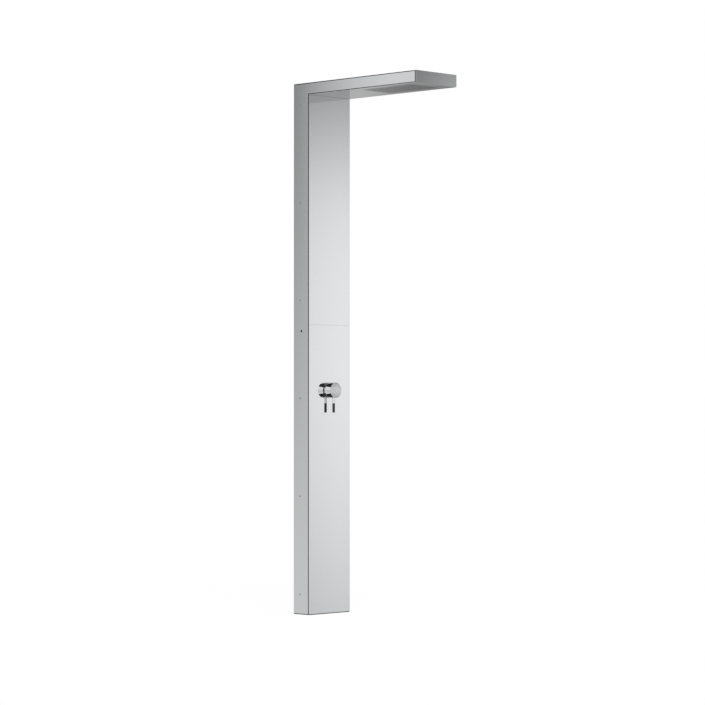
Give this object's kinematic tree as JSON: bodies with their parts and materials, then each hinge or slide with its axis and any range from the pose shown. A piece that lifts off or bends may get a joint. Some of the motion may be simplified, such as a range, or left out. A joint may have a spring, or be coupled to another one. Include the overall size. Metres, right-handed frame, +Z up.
{
  "type": "shower column",
  "caption": "Wall-fixed stainless shower column: flat casing with an overhead rain arm, nozzle field below it and a single-lever mixer on the front.",
  "frame": {"origin": "middle of the column's foot, on the floor", "axes": "+Z up along the column, +Y towards the wall, the arm reaches to -Y, +X to the right of a person facing the column"},
  "size_m": [0.241, 0.695, 2.2],
  "materials": {
    "brushed_stainless": "finely brushed stainless sheet, nearly mirror-smooth",
    "chrome_brass": "polished chrome plate",
    "dark_grip": "black anodised sleeve with fine grooves",
    "cast_brass": "machined cast brass",
    "galvanised_steel": "zinc-coated steel",
    "screw_steel": "stainless screws",
    "braided_hose": "stainless wire braid over rubber hose",
    "black_rubber": "matt black rubber",
    "grey_silicone": "dark grey silicone",
    "white_polymer": "moulded acetal"
  },
  "bodies": {
    "column": {"left_cheek": "brushed_stainless", "right_cheek": "brushed_stainless", "front_panel_lower": "brushed_stainless", "front_panel_upper": "brushed_stainless", "arm_soffit": "brushed_stainless", "top_cover": "brushed_stainless", "arm_front_cap": "brushed_stainless", "bottom_cap": "brushed_stainless", "spray_plate": "brushed_stainless", "mixer_rosette": "chrome_brass", "mixer_body": "cast_brass", "cartridge_nut": "cast_brass", "hot_inlet_elbow": "cast_brass", "cold_inlet_elbow": "cast_brass", "hot_hose_nut": "cast_brass", "cold_hose_nut": "cast_brass", "riser_nut": "cast_brass", "riser_pipe": "cast_brass", "head_elbow": "cast_brass", "feed_pipe": "cast_brass", "feed_nut": "cast_brass", "wall_frame": "galvanised_steel", "mixer_bracket": "galvanised_steel", "mixer_bolt_left": "galvanised_steel", "mixer_bolt_right": "galvanised_steel", "chamber_strap_front": "galvanised_steel", "chamber_strap_rear": "galvanised_steel", "left_side_screw_1": "screw_steel", "left_side_screw_2": "screw_steel", "left_side_screw_3": "screw_steel", "left_side_screw_4": "screw_steel", "left_side_screw_5": "screw_steel", "left_side_screw_6": "screw_steel", "right_side_screw_1": "screw_steel", "right_side_screw_2": "screw_steel", "right_side_screw_3": "screw_steel", "right_side_screw_4": "screw_steel", "right_side_screw_5": "screw_steel", "right_side_screw_6": "screw_steel", "hot_hose": "braided_hose", "cold_hose": "braided_hose", "left_joint_seal": "black_rubber", "right_joint_seal": "black_rubber", "foot_gasket": "black_rubber", "access_plug": "black_rubber", "head_gasket": "black_rubber", "nozzle_mat": "grey_silicone", "water_chamber": "white_polymer", "mixer_cartridge": "white_polymer", "hot_check_valve": "white_polymer", "cold_check_valve": "white_polymer", "riser_clip_lower": "white_polymer", "riser_clip_upper": "white_polymer"},
    "mixer_handle": {"mixer_knob": "chrome_brass", "knob_face_disc": "brushed_stainless", "cartridge_spindle": "cast_brass", "knob_set_screw": "galvanised_steel", "lever_stem": "chrome_brass", "lever_grip": "dark_grip"}
  },
  "joints": [
    {"name": "mixer_turn", "type": "hinge", "parent": "column", "child": "mixer_handle", "pos_m": [0, -0.0615, 0.927], "axis": [0, -1, 0], "range_deg": [0, 100]}
  ]
}
